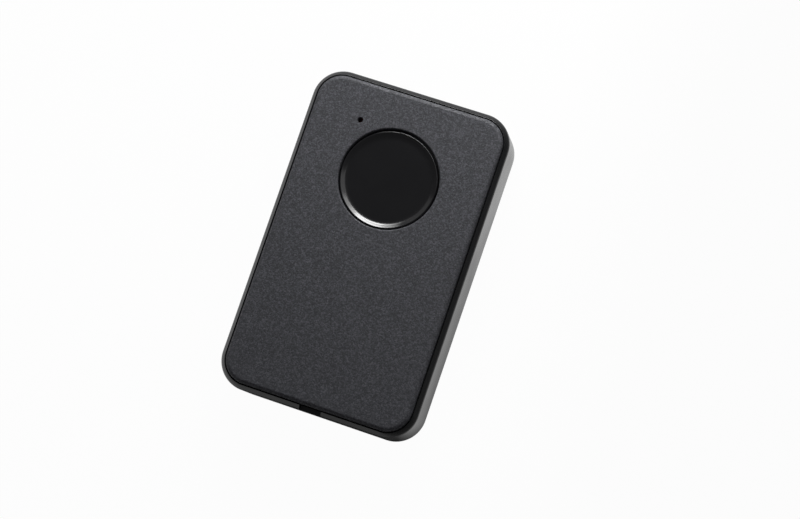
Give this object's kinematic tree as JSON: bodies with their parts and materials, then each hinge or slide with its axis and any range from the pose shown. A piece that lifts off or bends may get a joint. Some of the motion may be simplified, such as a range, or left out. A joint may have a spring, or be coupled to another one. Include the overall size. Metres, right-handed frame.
{
  "type": "gate remote control",
  "caption": "Pocket remote for a gate: rounded flat case with a textured clip-in front cover, a dished round push button and an indicator pinhole.",
  "frame": {"origin": "middle of the flat back, on the surface that it lies on", "axes": "+X across the case, +Y along it towards the button and indicator end, +Z out of the face"},
  "size_m": [0.04, 0.065, 0.013],
  "materials": {
    "tub_plastic": "satin, smooth moulded black",
    "cover_plastic": "charcoal, finely spark-eroded texture",
    "button_gloss": "polished black",
    "board_green": "solder mask, semi-gloss",
    "copper": "bare copper under mask",
    "switch_black": "moulded black",
    "steel": "rolled steel",
    "plunger_plastic": "moulded black",
    "tinned": "tin plated",
    "lamp_clear": "tinted clear epoxy",
    "sleeve_film": "plain shrink film",
    "seal_nylon": "nylon",
    "nickel": "nickel plated",
    "chip_black": "moulded epoxy",
    "resistor_black": "glazed film",
    "ceramic_tan": "fired ceramic",
    "aluminium_can": "drawn can",
    "solder": "reflowed solder"
  },
  "bodies": {
    "case": {"rear_tub": "tub_plastic", "front_cover": "cover_plastic", "circuit_board": "board_green", "antenna_trace": "copper", "switch_base": "switch_black", "switch_plate": "steel", "switch_dome": "steel", "switch_legs": "tinned", "lamp_lens": "lamp_clear", "lamp_leads": "tinned", "cell_can": "steel", "cell_sleeve": "sleeve_film", "cell_seal": "seal_nylon", "cell_cap": "nickel", "positive_contact": "nickel", "negative_contact": "nickel", "resonator_can": "nickel", "resonator_pins": "tinned", "encoder_chip": "chip_black", "encoder_leads": "tinned", "transistor": "chip_black", "transistor_leads": "tinned", "chip_resistors": "resistor_black", "chip_capacitors": "ceramic_tan", "chip_part_ends": "tinned", "buffer_foot": "switch_black", "buffer_can": "aluminium_can", "solder_joints": "solder"},
    "button": {"button_cap": "button_gloss"},
    "plunger": {"switch_plunger": "plunger_plastic"}
  },
  "joints": [
    {"name": "button_press", "type": "slide", "parent": "case", "child": "button", "axis": [0, 0, -1], "range_m": [0, 0.0003], "stiffness_N_per_m": 5000},
    {"name": "plunger_travel", "type": "slide", "parent": "case", "child": "plunger", "axis": [0, 0, -1], "range_m": [0, 0.0003], "deforming": ["switch_dome"]}
  ],
  "couplings": [
    {"joint": "plunger_travel", "follows": "button_press", "ratio": 1}
  ]
}
